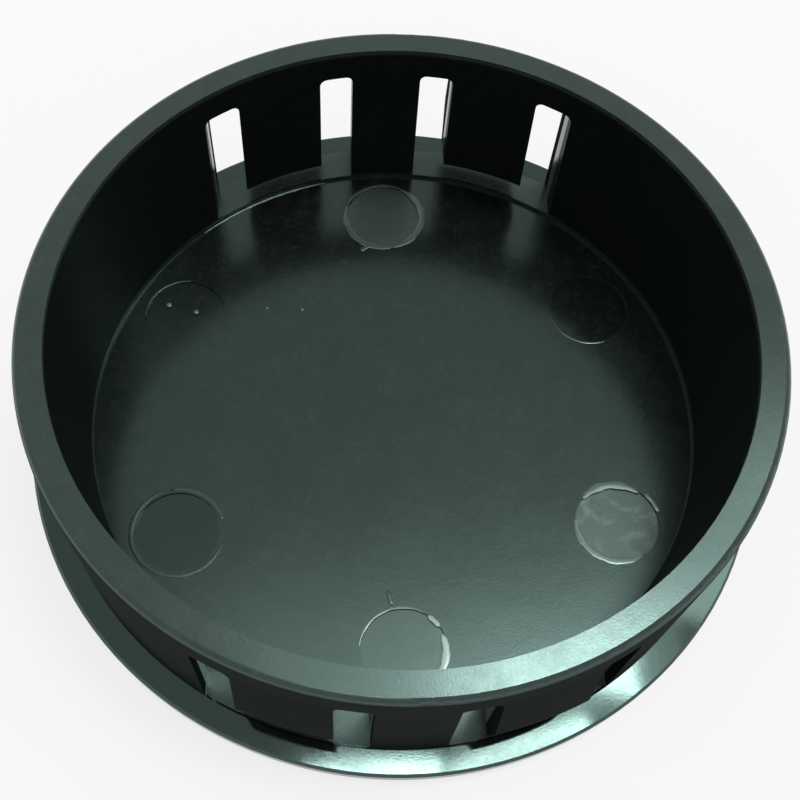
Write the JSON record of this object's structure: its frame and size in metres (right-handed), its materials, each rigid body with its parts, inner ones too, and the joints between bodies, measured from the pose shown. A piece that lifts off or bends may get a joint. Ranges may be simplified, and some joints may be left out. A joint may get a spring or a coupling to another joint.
{
  "type": "hole plug",
  "caption": "Round snap-in hole plug: a shallow black plastic cup with a flanged head and barbed tongues, freed by windows in its skirt, that lock behind a panel.",
  "frame": {"origin": "centre of the head's outer face, which lies on the surface", "axes": "+Z along the plug's axis, from the head to the open end of the skirt; the two groups of tongues face +Y and -Y"},
  "size_m": [0.0529, 0.0528, 0.0143],
  "materials": {
    "black_plastic": "satin black moulded plastic with a grey-green sheen"
  },
  "bodies": {
    "root": {"plug_body": "black_plastic"}
  },
  "joints": []
}
